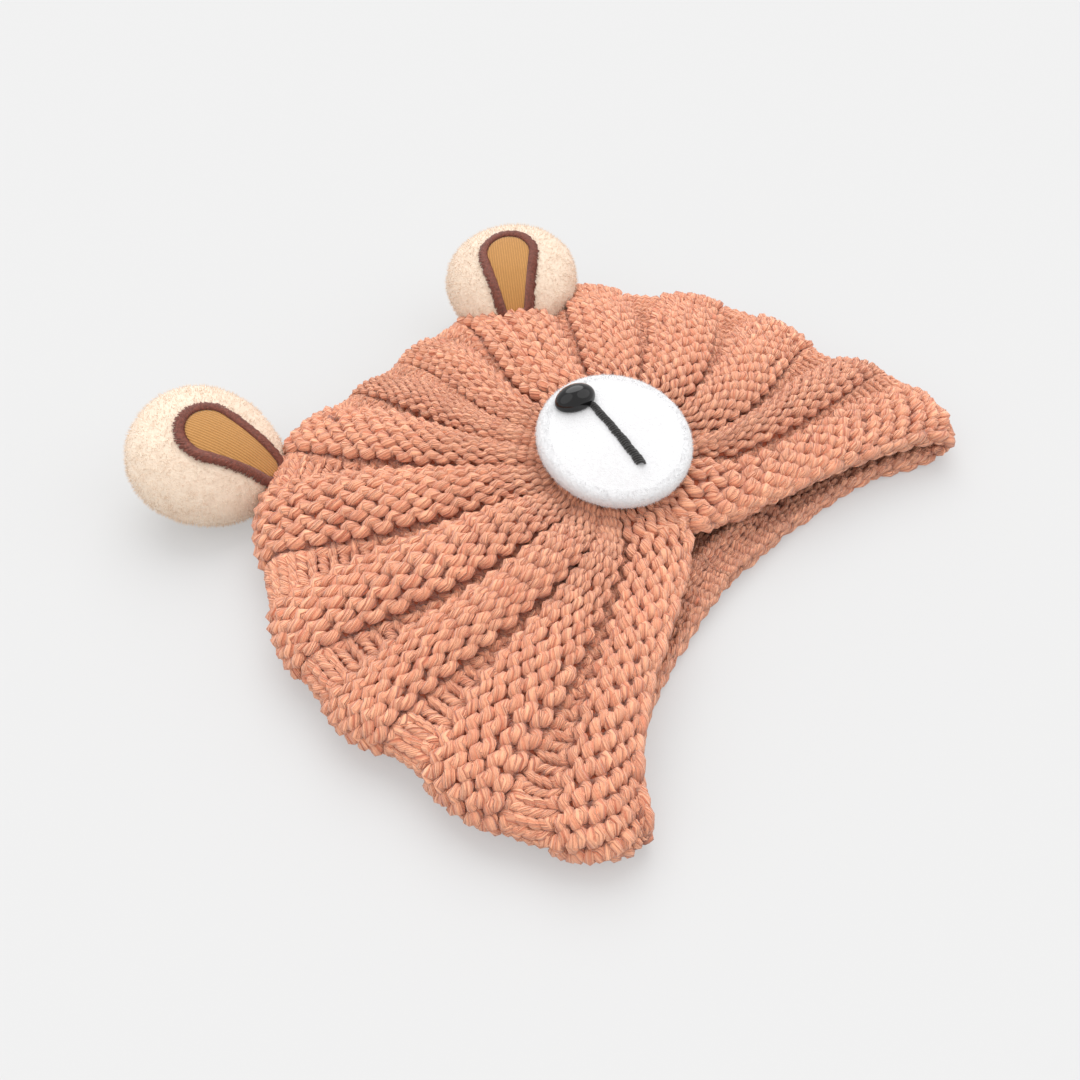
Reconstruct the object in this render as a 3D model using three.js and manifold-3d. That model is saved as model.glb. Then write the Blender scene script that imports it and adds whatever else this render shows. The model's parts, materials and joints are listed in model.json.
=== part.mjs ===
// A toddler's knitted turban hat with bear ears, lying on its back: millimetres, +Z up,
// crown towards +Y. The hat is one chunky strip knitted with lengthwise ribs. One end is
// gathered behind the round muzzle in front, the ribs fan out from there, fold under at the
// outline and run back to a short seam up the middle of the back. The brim opens towards -Y,
// so the head goes in between the front and the back layer. The fabric is divided into
// panels of a few ribs each, in front and behind, so that each is a plain wall beside the hollow.
import * as THREE from 'three';
import { mergeVertices } from 'three/addons/utils/BufferGeometryUtils.js';
import Module from 'manifold-3d';

const wasm = await Module();
wasm.setup();

// ---- Driving sizes ----
const WALL = 4.4; // thickness of the knitted fabric
const CLEAR = 0.3; // gap left between pieces that touch
// Ribs above the lines between them, and half their width as a share of the pitch.
const RIB_HEIGHT = { muzzle: 3.2, front: 6.0, middle: 6.0, fold: 2.5, back: 3.4, seam: 2.6 };
const RIB_HALF = { muzzle: 0.5, front: 0.46, middle: 0.42, fold: 0.32, back: 0.36, seam: 0.42 };
const INNER_SHARE = 0.8; // how much of the ribs' relief shows on the inside
const BACK_HEIGHT = 5.1; // middle of the back layer's wall above the floor
const FOLD_REACH = 8.5; // how far the fold at the outline reaches out past its centre
const SEAM_X = -3; // the back seam lies a little left of the muzzle's middle
const STITCHED = 29; // length below the gather over which the brim edges are sewn together
// The lobes' corners: rounded over this share of a rib, by this much.
const TIP = { span: 0.5, round: 5 };

// The plush disc over the gather: rim height, dome on top, its middle, and the height of its top.
const MUZZLE = { radius: 24.5, edge: 5.6, crown: 2.2, x: 1, y: -1.2, top: 36.6 };
const MUZZLE_NORMAL = new THREE.Vector3(-0.095, -0.229, 0.969).normalize();
// The nose and the stitched mouth line, in the disc's own plane; spin turns the nose's long side.
const NOSE = { x: 0, y: 16.5, width: 13.3, height: 9, dome: 5.4, spin: -22 };
const MOUTH = { from: [1.9, 10.3], to: [-4, -12.4], width: 2.4, thick: 1.6 };

// The stuffed ears: half sizes, and how much narrower they are where they are sewn on.
const EAR = { width: 25, length: 26, depth: 15.5, narrow: 0.1 };
// Felt patch on an ear's front: two circles along its middle with straight sides between them.
const PATCH = {
  wide: 7.6, wideAt: 1.5, small: 3.6, smallAt: -18, thick: 0.9,
  border: 2.8, borderThick: 1.8, sink: 0.6, stops: 26,
};
// An ear's middle; the direction in which it points away from the cap, its roll, and how far
// its tip is raised, in degrees.
const EARS = [
  { side: 'left', x: -74.6, y: 103.4, z: 17.4, points: 116, roll: -9, raised: 24 },
  { side: 'right', x: 53.2, y: 85.8, z: 23.6, points: 45, roll: -5, raised: 13 },
];

// The lines between ribs, from the left brim edge over the crown to the right brim edge.
// start: direction in which the line leaves the gather, degrees
// lead: share of the front over which it keeps that direction
// x, y: where it folds under at the outline
// turn: direction in which the fabric points there, degrees
// top: height of the fold's upper side
// loft: height of the front wall's middle above the floor, half way out
// dip: depth of the line as a share of the ribs' height
// seam: where it ends on the back seam
// side: direction in which it gets there, degrees
const LINE_FIELDS = ['start', 'lead', 'x', 'y', 'turn', 'top', 'loft', 'dip', 'seam', 'side'];
const LINES = [
  [265, 0.13, -90.3, -80.7, 224, 12.0, 12.5, 0.3, -47, 184],
  [225.3, 0.14, -107.3, -56, 200.5, 13.2, 17.5, 0.8, -37, 182],
  [207.7, 0.27, -110.8, -18.8, 186, 14.5, 22.5, 1.0, -24, 180],
  [186, 0.45, -110.8, 15.2, 166, 15.0, 24.5, 1.0, -11, 176],
  [163, 0.3, -95.2, 50.5, 146, 15.5, 24.5, 1.0, 1, 165],
  [141, 0.3, -64.2, 84.9, 120, 16.5, 24.5, 1.0, 11, 146],
  [126, 0.3, -27.1, 93, 100, 17.0, 24.5, 0.9, 18, 120],
  [113, 0.3, -6, 91, 91, 17.5, 24.5, 0.35, 21, 90],
  [90, 0.3, 20.4, 91.5, 82, 19.5, 24.5, 0.9, 18, 60],
  [52, 0.3, 61.8, 81.1, 60, 18.5, 24.5, 1.0, 11, 34],
  [22, 0.3, 87.8, 51.6, 34, 16.5, 24.5, 1.0, 1, 15],
  [-6, 0.4, 104.7, 18, 12, 15.5, 24.5, 1.0, -11, 4],
  [-28.7, 0.35, 102.9, -19.3, -4.7, 14.5, 22, 1.0, -24, 0],
  [-41.2, 0.31, 108.5, -44.1, -13, 12.5, 16, 0.8, -37, -2],
  [-95, 0.07, 95.9, -74, -31.5, 11.0, 12.5, 0.3, -47, -4],
].map((line) => Object.fromEntries(LINE_FIELDS.map((field, i) => [field, line[i]])));
const RIBS = LINES.length - 1;

// ---- Small helpers ----
const lerp = THREE.MathUtils.lerp;
const smooth = THREE.MathUtils.smoothstep;

/** The plane direction at so many degrees from +X. */
function heading(degrees) {
  const angle = THREE.MathUtils.degToRad(degrees);
  return new THREE.Vector2(Math.cos(angle), Math.sin(angle));
}

/** A field of LINES at any place v between 0 and RIBS, smoothly joined from line to line. */
function column(name, v) {
  const row = Math.min(Math.floor(v), RIBS - 1);
  const at = (i) => LINES[THREE.MathUtils.clamp(i, 0, RIBS)][name];
  const [a, b, c, d] = [at(row - 1), at(row), at(row + 1), at(row + 2)];
  const t = v - row;
  return b + 0.5 * t * (c - a + t * (2 * a - 5 * b + 4 * c - d + t * (3 * (b - c) + d - a)));
}

/** A point and its direction on the cubic curve through four plane points. */
function curveAt(a, b, c, d, t) {
  const curve = new THREE.CubicBezierCurve(a, b, c, d);
  return { point: curve.getPoint(t), along: curve.getTangent(THREE.MathUtils.clamp(t, 0.001, 0.999)) };
}

// ---- The knitted strip's middle surface ----
// how far it lies under the muzzle's top, square to it
const underMuzzle = MUZZLE.crown + MUZZLE.edge + CLEAR + RIB_HEIGHT.muzzle + WALL / 2;
const gatherHeight = MUZZLE.top - underMuzzle / MUZZLE_NORMAL.z;
const muzzleSlope = new THREE.Vector2(-MUZZLE_NORMAL.x, -MUZZLE_NORMAL.y)
  .divideScalar(MUZZLE_NORMAL.z);

/** Height of the front layer over a plane point: level with the muzzle near it, then to the fold. */
function frontHeight(point, top, loft, t) {
  const seat = gatherHeight + muzzleSlope.dot(point);
  const free = lerp(loft, top, t * t * (2 - t)) + 0.35 * muzzleSlope.dot(point) * (1 - t);
  return lerp(seat, free, smooth(point.length(), MUZZLE.radius - 1, 41));
}

/** The middle surface at place v across the ribs and u along them: a point and which way is out. */
function strip(u, v) {
  const start = heading(column('start', v));
  const turn = heading(column('turn', v));
  const tip = Math.max(0, 1 - Math.min(v, RIBS - v) / TIP.span) ** 2;
  const fold = new THREE.Vector2(column('x', v), column('y', v));
  fold.addScaledVector(turn, -FOLD_REACH - TIP.round * tip);
  const top = column('top', v);
  const loft = column('loft', v);
  if (u < 1) { // under the muzzle, straight out from the gather
    const point = start.clone().multiplyScalar(u * STITCHED);
    const height = frontHeight(point, top, loft, 0);
    return { point: new THREE.Vector3(point.x, point.y, height), out: MUZZLE_NORMAL.clone() };
  }
  if (u <= 2) { // the front, out to the fold
    const from = start.clone().multiplyScalar(STITCHED);
    const span = fold.distanceTo(from);
    const b = from.clone().addScaledVector(start, span * column('lead', v));
    const c = fold.clone().addScaledVector(turn, -span * 0.35);
    const place = (t) => {
      const { point, along } = curveAt(from, b, c, fold, t);
      return { point: new THREE.Vector3(point.x, point.y, frontHeight(point, top, loft, t)), along };
    };
    const t = u - 1;
    const here = place(t);
    const [near, far] = [place(Math.max(0, t - 0.02)).point, place(Math.min(1, t + 0.02)).point];
    const slope = (near.z - far.z) / Math.hypot(far.x - near.x, far.y - near.y);
    const free = new THREE.Vector3(here.along.x * slope, here.along.y * slope, 1).normalize();
    const out = MUZZLE_NORMAL.clone().lerp(free, smooth(t, 0, 0.3)).normalize();
    return { point: here.point, out };
  }
  if (u < 3) { // round the fold
    const angle = (u - 2) * Math.PI;
    const reach = FOLD_REACH * Math.sin(angle);
    const half = (top - BACK_HEIGHT) / 2;
    const z = BACK_HEIGHT + half + half * Math.cos(angle);
    const [sin, cos] = [Math.sin(angle), Math.cos(angle)];
    const point = new THREE.Vector3(fold.x + turn.x * reach, fold.y + turn.y * reach, z);
    return { point, out: new THREE.Vector3(turn.x * sin, turn.y * sin, cos) };
  }
  // the back, in to the seam
  const end = new THREE.Vector2(SEAM_X, column('seam', v));
  const span = fold.distanceTo(end);
  const side = heading(column('side', v));
  const b = fold.clone().addScaledVector(turn, -span * 0.35);
  const c = end.clone().addScaledVector(side, span * 0.35);
  const { point } = curveAt(fold, b, c, end, u - 3);
  return { point: new THREE.Vector3(point.x, point.y, BACK_HEIGHT), out: new THREE.Vector3(0, 0, -1) };
}

/** A size that changes along the ribs, from the muzzle to the back seam. */
function along(sizes, u) {
  const { muzzle, front, middle, fold, back, seam } = sizes;
  const stops = [
    [0.82, muzzle], [1.2, front], [1.6, middle], [2.1, fold], [2.5, fold],
    [3.0, back], [3.6, back], [4, seam],
  ];
  if (u <= stops[0][0]) return muzzle;
  const next = stops.findIndex(([at]) => u <= at);
  const [[a, from], [b, to]] = [stops[next - 1], stops[next]];
  return lerp(from, to, smooth(u, a, b));
}

/** Height of the ribs' relief at share f of the way from one line to the next. */
function relief(u, rib, f) {
  const half = along(RIB_HALF, u);
  const bulge = Math.sqrt(Math.max(0, 1 - ((f - 0.5) / half) ** 2));
  const dip = LINES[f < 0.5 ? rib : rib + 1].dip;
  const fade = smooth(u, 0, 0.35);
  return along(RIB_HEIGHT, u) * (1 - dip * (1 - bulge) * fade);
}

// ---- The knitted cap ----
// Places along the ribs: the gather's middle is 0, and the last is the back seam.
const GATHERED = 0.8; // the gather's own disc of fabric reaches this far, under the muzzle
const MEET = 2.5; // half way round the fold, where front and back panels meet
const SEAM = 4;
const GATHER_STOPS = [0, 0.38, GATHERED];
const FRONT_STOPS = [
  GATHERED, 1, 1.08, 1.2, 1.36, 1.54, 1.74, 1.9, 2, // front
  2.17, 2.34, MEET, // upper half of the fold
];
const BACK_STOPS = [
  MEET, 2.66, 2.83, // lower half of the fold
  3, 3.12, 3.3, 3.5, 3.7, 3.86, SEAM, // back
];
// Panels of ribs, from the line before the first to the line after the last.
const PANELS = [
  { name: 'left_lobe', ribs: [0, 3] },
  { name: 'left', ribs: [3, 7] },
  { name: 'right', ribs: [7, 11] },
  { name: 'right_lobe', ribs: [11, RIBS] },
];
// Samples over one rib: the line before it, then shares of its half width.
const ACROSS = [0, -0.88, -0.36, 0.36, 0.88];

/** Where column j of the samples lies at place u: its rib and its share of the way over it. */
function columnPlace(u, j) {
  const rib = Math.min(Math.floor(j / ACROSS.length), RIBS - 1);
  const sample = j - rib * ACROSS.length;
  if (sample === ACROSS.length) return { rib, f: 1 };
  return { rib, f: sample === 0 ? 0 : 0.5 + ACROSS[sample] * along(RIB_HALF, u) };
}

/** A point on one side of the wall, at place u along the ribs and in column j across them. */
function onWall(u, j, side, grow) {
  const { rib, f } = columnPlace(u, j);
  const { point, out } = strip(u, rib + f);
  const raised = u === 0 ? RIB_HEIGHT.muzzle : relief(u, rib, f);
  const offset = side === 'outer' ? raised + WALL / 2 + grow : raised * INNER_SHARE - WALL / 2;
  const p = point.addScaledVector(out, offset);
  p.z = Math.max(p.z, -grow);
  return p;
}

/** The move that takes an edge point in by half the gap: to is 1 or -1, along or across the ribs. */
function inset(u, v, direction, to) {
  const step = 0.01;
  const [u0, u1] = [Math.max(u - step, 0), Math.min(u + step, SEAM)];
  const [v0, v1] = [Math.max(v - step, 0), Math.min(v + step, RIBS)];
  const lengthwise = strip(u1, v).point.sub(strip(u0, v).point);
  if (u === GATHERED && direction === 'along') { // straight out from the gather
    return lengthwise.setLength((to * CLEAR) / 2);
  }
  const crosswise = strip(u, v1).point.sub(strip(u, v0).point);
  const { out } = strip(u, v);
  const [edge, inward] = direction === 'along' ? [crosswise, lengthwise] : [lengthwise, crosswise];
  const move = new THREE.Vector3().crossVectors(edge, out).normalize();
  return move.multiplyScalar((Math.sign(move.dot(inward)) * to * CLEAR) / 2);
}

/**
 * A closed wall over some ribs and stops. grow pushes its outer side out, to cut seats in what
 * touches it. A panel is set in by half the gap wherever another panel goes on.
 */
function wallGeometry([from, to], stops, { grow = 0, panel = true } = {}) {
  const round = to - from === RIBS; // the sewn stretch joins its two sides
  const first = from * ACROSS.length;
  const columns = (to - from) * ACROSS.length + 1;
  const last = stops.length - 1;
  const positions = [];
  const index = [];
  const add = (p) => positions.push(p.x, p.y, p.z) / 3 - 1;
  const quad = (a, b, c, d) => index.push(a, b, c, a, c, d);
  const corner = (i, j, side) => {
    const u = stops[i];
    const p = onWall(u, first + j, side, grow);
    if (!panel) return add(p);
    const { rib, f } = columnPlace(u, first + j);
    if (i === 0 && u > 0) p.add(inset(u, rib + f, 'along', 1));
    if (u === SEAM) p.x += from < RIBS / 2 ? -CLEAR / 2 : CLEAR / 2;
    else if (i === last) p.add(inset(u, rib + f, 'along', -1));
    if (!round && j === 0) p.add(inset(u, rib + f, 'across', 1));
    if (!round && j === columns - 1) p.add(inset(u, rib + f, 'across', -1));
    return add(p);
  };
  const grids = {};
  for (const side of ['outer', 'inner']) {
    const rows = stops.map((_, i) => Array.from({ length: columns }, (_, j) => corner(i, j, side)));
    for (let j = 0; j < columns - 1; j++) {
      for (let i = 0; i < last; i++) {
        const [a, b, c, d] = [rows[i][j], rows[i][j + 1], rows[i + 1][j + 1], rows[i + 1][j]];
        if (side === 'outer') quad(a, b, c, d);
        else quad(a, d, c, b);
      }
    }
    grids[side] = rows;
  }
  const { outer, inner } = grids;
  // the edges beside the first and the last rib; the sewn stretch has none
  const open = round ? stops.findIndex((u) => u >= 1) : 0;
  for (let i = open; i >= 0 && i < last; i++) {
    const j = columns - 1;
    quad(outer[i][0], outer[i + 1][0], inner[i + 1][0], inner[i][0]);
    quad(outer[i][j], inner[i][j], inner[i + 1][j], outer[i + 1][j]);
  }
  // the edges across the ribs; at the whole strip's seam its two sides join
  for (let j = 0; j < columns - 1; j++) {
    const k = j + 1;
    if (stops[0] > 0) quad(outer[0][j], inner[0][j], inner[0][k], outer[0][k]);
    if (panel) quad(outer[last][j], outer[last][k], inner[last][k], inner[last][j]);
  }
  const geometry = new THREE.BufferGeometry();
  geometry.setAttribute('position', new THREE.Float32BufferAttribute(positions, 3));
  geometry.setIndex(index);
  return solidGeometry(solid(geometry));
}

// ---- Joining and cutting ----
/** A closed geometry as a solid to cut with. */
function solid(geometry) {
  const bare = new THREE.BufferGeometry();
  bare.setAttribute('position', geometry.getAttribute('position'));
  if (geometry.index) bare.setIndex(geometry.index);
  const merged = mergeVertices(bare, 1e-3);
  const whole = [];
  const { array } = merged.index;
  for (let i = 0; i < array.length; i += 3) {
    const [a, b, c] = array.slice(i, i + 3);
    if (a !== b && b !== c && c !== a) whole.push(a, b, c);
  }
  return new wasm.Manifold(new wasm.Mesh({
    numProp: 3, vertProperties: merged.getAttribute('position').array, triVerts: new Uint32Array(whole),
  }));
}

/** A solid's surface as a geometry to show. */
function solidGeometry(body) {
  const { vertProperties, triVerts } = body.getMesh();
  const geometry = new THREE.BufferGeometry();
  geometry.setAttribute('position', new THREE.BufferAttribute(vertProperties, 3));
  geometry.setIndex(new THREE.BufferAttribute(triVerts, 1));
  return geometry;
}

/** Cuts a body back to clear the rooms that its neighbours need, and keeps the one big piece. */
function seated(geometry, ...rooms) {
  const cutBack = rooms.reduce((body, room) => body.subtract(solid(room)), solid(geometry));
  const [biggest] = cutBack.decompose().sort((a, b) => b.volume() - a.volume());
  return solidGeometry(biggest);
}

/** A closed body from rings of points with the same number each, fanned shut at both ends. */
function ringsBody(rings) {
  const count = rings[0].length;
  const middle = (ring) => ring.reduce((sum, p) => sum.add(p), new THREE.Vector3()).divideScalar(count);
  const points = [middle(rings[0]), ...rings.flat(), middle(rings[rings.length - 1])];
  const last = points.length - 1;
  const index = [];
  for (let j = 0; j < count; j++) {
    const k = (j + 1) % count;
    index.push(0, 1 + k, 1 + j);
    for (let i = 0; i < rings.length - 1; i++) {
      const [a, b] = [1 + i * count + j, 1 + i * count + k];
      index.push(a, b, b + count, a, b + count, a + count);
    }
    index.push(last, last - count + j, last - count + k);
  }
  const body = new THREE.BufferGeometry();
  body.setAttribute('position', new THREE.Float32BufferAttribute(points.flatMap((p) => p.toArray()), 3));
  body.setIndex(index);
  return body;
}

/** A closed band: the same section of points at each stop round a closed outline. */
function bandBody(sections) {
  const count = sections[0].length;
  const index = [];
  sections.forEach((_, i) => {
    const next = (i + 1) % sections.length;
    for (let j = 0; j < count; j++) {
      const k = (j + 1) % count;
      const [a, b, c, d] = [i * count + j, i * count + k, next * count + k, next * count + j];
      index.push(a, c, b, a, d, c);
    }
  });
  const body = new THREE.BufferGeometry();
  const coordinates = sections.flat().flatMap((p) => p.toArray());
  body.setAttribute('position', new THREE.Float32BufferAttribute(coordinates, 3));
  body.setIndex(index);
  return body;
}

// ---- The ears, in their own frame: +Y away from the cap, +Z the front ----
/** How full the ear's cross section is at place y along it, 1 being its whole width and depth. */
function earFullness(y) {
  const share = y / EAR.length;
  return Math.sqrt(Math.max(0, 1 - share * share)) * (1 + EAR.narrow * share);
}

/** A point above the ear's front at the plane place (x, y). */
function onEar(x, y, lift) {
  const height = (px, py) => {
    const full = earFullness(py);
    return EAR.depth * full * Math.sqrt(Math.max(0, 1 - (px / (EAR.width * full)) ** 2));
  };
  const step = 0.05;
  const slopeX = (height(x + step, y) - height(x - step, y)) / (2 * step);
  const slopeY = (height(x, y + step) - height(x, y - step)) / (2 * step);
  const normal = new THREE.Vector3(-slopeX, -slopeY, 1).normalize();
  return new THREE.Vector3(x, y, height(x, y)).addScaledVector(normal, lift);
}

/** The patch's outline, grown by margin: round its wide end and its small end, with straight sides. */
function patchOutline(margin) {
  const { wide, wideAt, small, smallAt, stops } = PATCH;
  const lean = Math.asin((wide - small) / (wideAt - smallAt));
  const outline = new THREE.Path()
    .absarc(0, wideAt, wide, -lean, Math.PI + lean)
    .absarc(0, smallAt, small, Math.PI + lean, 2 * Math.PI - lean);
  outline.closePath();
  const points = outline.getSpacedPoints(stops).slice(0, stops);
  return points.map((point, i) => {
    const side = points[(i + 1) % stops].clone().sub(points[(i + stops - 1) % stops]).normalize();
    return [point.x + side.y * margin, point.y - side.x * margin];
  });
}

/** The stuffed ear; grow gives the room that it needs in what lies on it. */
function earPlush(grow = 0) {
  const [AROUND, ALONG] = [28, 15];
  const rings = Array.from({ length: ALONG }, (_, i) => {
    const y = -EAR.length * Math.cos(((i + 1) / (ALONG + 1)) * Math.PI);
    const full = earFullness(y);
    return Array.from({ length: AROUND }, (_, j) => {
      const turn = -(j / AROUND) * 2 * Math.PI;
      return new THREE.Vector3(EAR.width * full * Math.cos(turn), y, EAR.depth * full * Math.sin(turn));
    });
  });
  const [width, length, depth] = [EAR.width, EAR.length, EAR.depth].map((half) => 1 + grow / half);
  return ringsBody(rings).scale(width, length, depth);
}

function earInner() {
  const middle = (PATCH.wideAt + PATCH.smallAt) / 2;
  const outline = patchOutline(0);
  const shrunk = (y, share) => middle + (y - middle) * share;
  const ring = (share, lift) => outline.map(([x, y]) => onEar(x * share, shrunk(y, share), lift));
  const shares = [0.3, 0.65, 1];
  const low = shares.map((share) => ring(share, -PATCH.sink));
  const high = shares.map((share) => ring(share, CLEAR + PATCH.thick)).reverse();
  return ringsBody([...low, ...high]);
}

function earBorder() {
  const { border, borderThick } = PATCH;
  // across the band: share of its width, and height above the ear
  const low = -PATCH.sink;
  const section = [[0, low], [1, low], [1, 0.5 * borderThick], [0.5, borderThick], [0, 0.5 * borderThick]];
  const lines = section.map(([share]) => patchOutline(CLEAR + share * border));
  const sections = lines[0].map((_, i) => section.map(([, lift], k) => onEar(...lines[k][i], lift)));
  return bandBody(sections);
}

// ---- The muzzle, in its own frame: +Z out of the face, its top middle at the origin ----
/** Height of the disc's top at distance r from its middle. */
function discTop(r) {
  const flat = MUZZLE.radius - MUZZLE.edge / 2;
  return -MUZZLE.crown * Math.min(1, r / flat) ** 2;
}

function muzzleDisc() {
  const round = MUZZLE.edge / 2;
  const flat = MUZZLE.radius - round;
  const bottom = -MUZZLE.crown - MUZZLE.edge;
  const rim = Array.from({ length: 7 }, (_, i) => {
    const angle = (i / 6 - 0.5) * Math.PI;
    return new THREE.Vector2(flat + round * Math.cos(angle), bottom + round + round * Math.sin(angle));
  });
  const dome = [0.75, 0.5, 0.25].map((share) => new THREE.Vector2(flat * share, discTop(flat * share)));
  const profile = [new THREE.Vector2(0, bottom), ...rim, ...dome, new THREE.Vector2(0, 0)];
  return new THREE.LatheGeometry(profile, 40).rotateX(Math.PI / 2);
}

/** A dome with a flat underside, lying on the disc where the nose is sewn through. */
function noseDome() {
  const profile = [new THREE.Vector2(0, 0), new THREE.Vector2(0.94, 0), new THREE.Vector2(1, 0.16)];
  for (const degrees of [22, 40, 58, 75]) {
    const angle = THREE.MathUtils.degToRad(degrees);
    profile.push(new THREE.Vector2(Math.cos(angle), 0.16 + 0.84 * Math.sin(angle)));
  }
  profile.push(new THREE.Vector2(0, 1));
  const reach = Math.hypot(NOSE.x, NOSE.y);
  const lean = (discTop(reach - 1) - discTop(reach + 1)) / 2; // the disc's slope under the nose
  const out = new THREE.Vector3((NOSE.x / reach) * lean, (NOSE.y / reach) * lean, 1).normalize();
  return new THREE.LatheGeometry(profile, 24)
    .rotateX(Math.PI / 2)
    .scale(NOSE.width / 2, NOSE.height / 2, NOSE.dome)
    .rotateZ(THREE.MathUtils.degToRad(NOSE.spin))
    .applyQuaternion(new THREE.Quaternion().setFromUnitVectors(new THREE.Vector3(0, 0, 1), out))
    .translate(NOSE.x, NOSE.y, discTop(reach) + CLEAR);
}

function mouthLine() {
  const { from, to, width, thick } = MOUTH;
  const points = [0, 0.25, 0.5, 0.75, 1].map((share) => {
    const [x, y] = [lerp(from[0], to[0], share), lerp(from[1], to[1], share)];
    return new THREE.Vector3(x, y, discTop(Math.hypot(x, y)) + CLEAR + thick / 2);
  });
  const section = new THREE.Shape().absellipse(0, 0, thick / 2, width / 2, 0, 2 * Math.PI);
  return new THREE.ExtrudeGeometry(section, {
    steps: 10, curveSegments: 6, bevelEnabled: false, extrudePath: new THREE.CatmullRomCurve3(points),
  });
}

// ---- Materials ----
function finish(name, color, roughness) {
  return new THREE.MeshStandardMaterial({ name, color, roughness, metalness: 0 });
}

const knit = finish('knit', 0xe29a78, 0.95);
const creamPlush = finish('cream_plush', 0xeddfcb, 0.9);
const ochreFelt = finish('ochre_felt', 0xc9964f, 0.85);
const brownThread = finish('brown_thread', 0x7a4030, 0.6);
const whitePlush = finish('white_plush', 0xf0f0f0, 0.9);
const blackPlastic = finish('black_plastic', 0x0c0c0c, 0.12);
const blackThread = finish('black_thread', 0x161616, 0.7);

// ---- The hat ----
const hat = new THREE.Group();

function piece(name, geometry, material) {
  const mesh = new THREE.Mesh(geometry, material);
  mesh.name = name;
  hat.add(mesh);
}

piece('knit_gather', wallGeometry([0, RIBS], GATHER_STOPS), knit);
for (const { name, ribs } of PANELS) {
  piece(`knit_front_${name}`, wallGeometry(ribs, FRONT_STOPS), knit);
  piece(`knit_back_${name}`, wallGeometry(ribs, BACK_STOPS), knit);
}

const allStops = [...GATHER_STOPS, ...FRONT_STOPS.slice(1), ...BACK_STOPS.slice(1)];
const capRoom = wallGeometry([0, RIBS], allStops, { grow: CLEAR, panel: false });
for (const { side, x, y, z, points, roll, raised } of EARS) {
  const turned = new THREE.Euler(...[raised, roll, points - 90].map(THREE.MathUtils.degToRad), 'ZYX');
  const place = new THREE.Matrix4().makeRotationFromEuler(turned).setPosition(x, y, z);
  const earRoom = earPlush(CLEAR).applyMatrix4(place);
  piece(`ear_${side}_plush`, seated(earPlush().applyMatrix4(place), capRoom), creamPlush);
  piece(`ear_${side}_inner`, seated(earInner().applyMatrix4(place), capRoom, earRoom), ochreFelt);
  piece(`ear_${side}_border`, seated(earBorder().applyMatrix4(place), capRoom, earRoom), brownThread);
}

const up = new THREE.Vector3(0, 0, 1);
const muzzleFrame = new THREE.Matrix4()
  .makeRotationFromQuaternion(new THREE.Quaternion().setFromUnitVectors(up, MUZZLE_NORMAL))
  .setPosition(MUZZLE.x, MUZZLE.y, MUZZLE.top + muzzleSlope.dot(MUZZLE));
piece('muzzle_disc', muzzleDisc().applyMatrix4(muzzleFrame), whitePlush);

piece('nose', noseDome().applyMatrix4(muzzleFrame), blackPlastic);
piece('mouth_line', mouthLine().applyMatrix4(muzzleFrame), blackThread);

// The origin is under the middle of the whole hat, on the surface that it lies on.
const bounds = new THREE.Box3().setFromObject(hat, true);
const middle = bounds.getCenter(new THREE.Vector3());
hat.position.set(-middle.x, -middle.y, -bounds.min.z);

export default hat;
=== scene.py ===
"""Dresses the knitted bear-ear turban hat: chunky yarn, plush ears and a padded muzzle, lying on its back."""

import json
import math

import bmesh
import bpy
import numpy as np
from bpy.props import FloatProperty, FloatVectorProperty, IntProperty, PointerProperty
from mathutils import Euler, Matrix, Vector
from mathutils.bvhtree import BVHTree

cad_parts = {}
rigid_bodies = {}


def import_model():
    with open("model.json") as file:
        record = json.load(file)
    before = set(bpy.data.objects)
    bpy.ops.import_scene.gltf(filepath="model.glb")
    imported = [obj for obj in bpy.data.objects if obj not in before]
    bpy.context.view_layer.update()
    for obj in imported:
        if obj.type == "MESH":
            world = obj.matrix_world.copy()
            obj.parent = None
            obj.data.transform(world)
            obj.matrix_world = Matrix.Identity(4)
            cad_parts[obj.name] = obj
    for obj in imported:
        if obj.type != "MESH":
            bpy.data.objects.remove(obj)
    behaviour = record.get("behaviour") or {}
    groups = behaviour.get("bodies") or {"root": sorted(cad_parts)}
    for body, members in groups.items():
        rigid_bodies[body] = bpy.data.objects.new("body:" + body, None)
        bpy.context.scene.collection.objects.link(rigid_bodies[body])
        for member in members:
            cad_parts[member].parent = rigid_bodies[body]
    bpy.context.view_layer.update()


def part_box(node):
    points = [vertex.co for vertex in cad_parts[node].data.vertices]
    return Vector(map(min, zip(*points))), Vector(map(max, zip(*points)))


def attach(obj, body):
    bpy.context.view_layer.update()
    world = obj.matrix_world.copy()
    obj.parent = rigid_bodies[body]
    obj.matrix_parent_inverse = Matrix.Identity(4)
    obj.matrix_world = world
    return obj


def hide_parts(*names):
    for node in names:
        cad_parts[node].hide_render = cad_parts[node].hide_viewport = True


bl_info = {
    "name": "Bear-ear turban hat",
    "version": (1, 0, 0),
    "blender": (4, 5, 0),
    "location": "3D View > Sidebar > Turban hat",
    "description": "Knits and dresses a toddler's turban hat with bear ears",
    "category": "Object",
}

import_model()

MM = 0.001
# The hat's own origin under the gather; the muzzle disc says where that is in the frame.
DISC_MIDDLE = Vector((1.475, -0.055))
_low, _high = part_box("muzzle_disc")
HAT_SHIFT = np.array([
    (_low.x + _high.x) / 2 / MM - DISC_MIDDLE.x,
    (_low.y + _high.y) / 2 / MM - DISC_MIDDLE.y,
    0.0,
])

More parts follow.
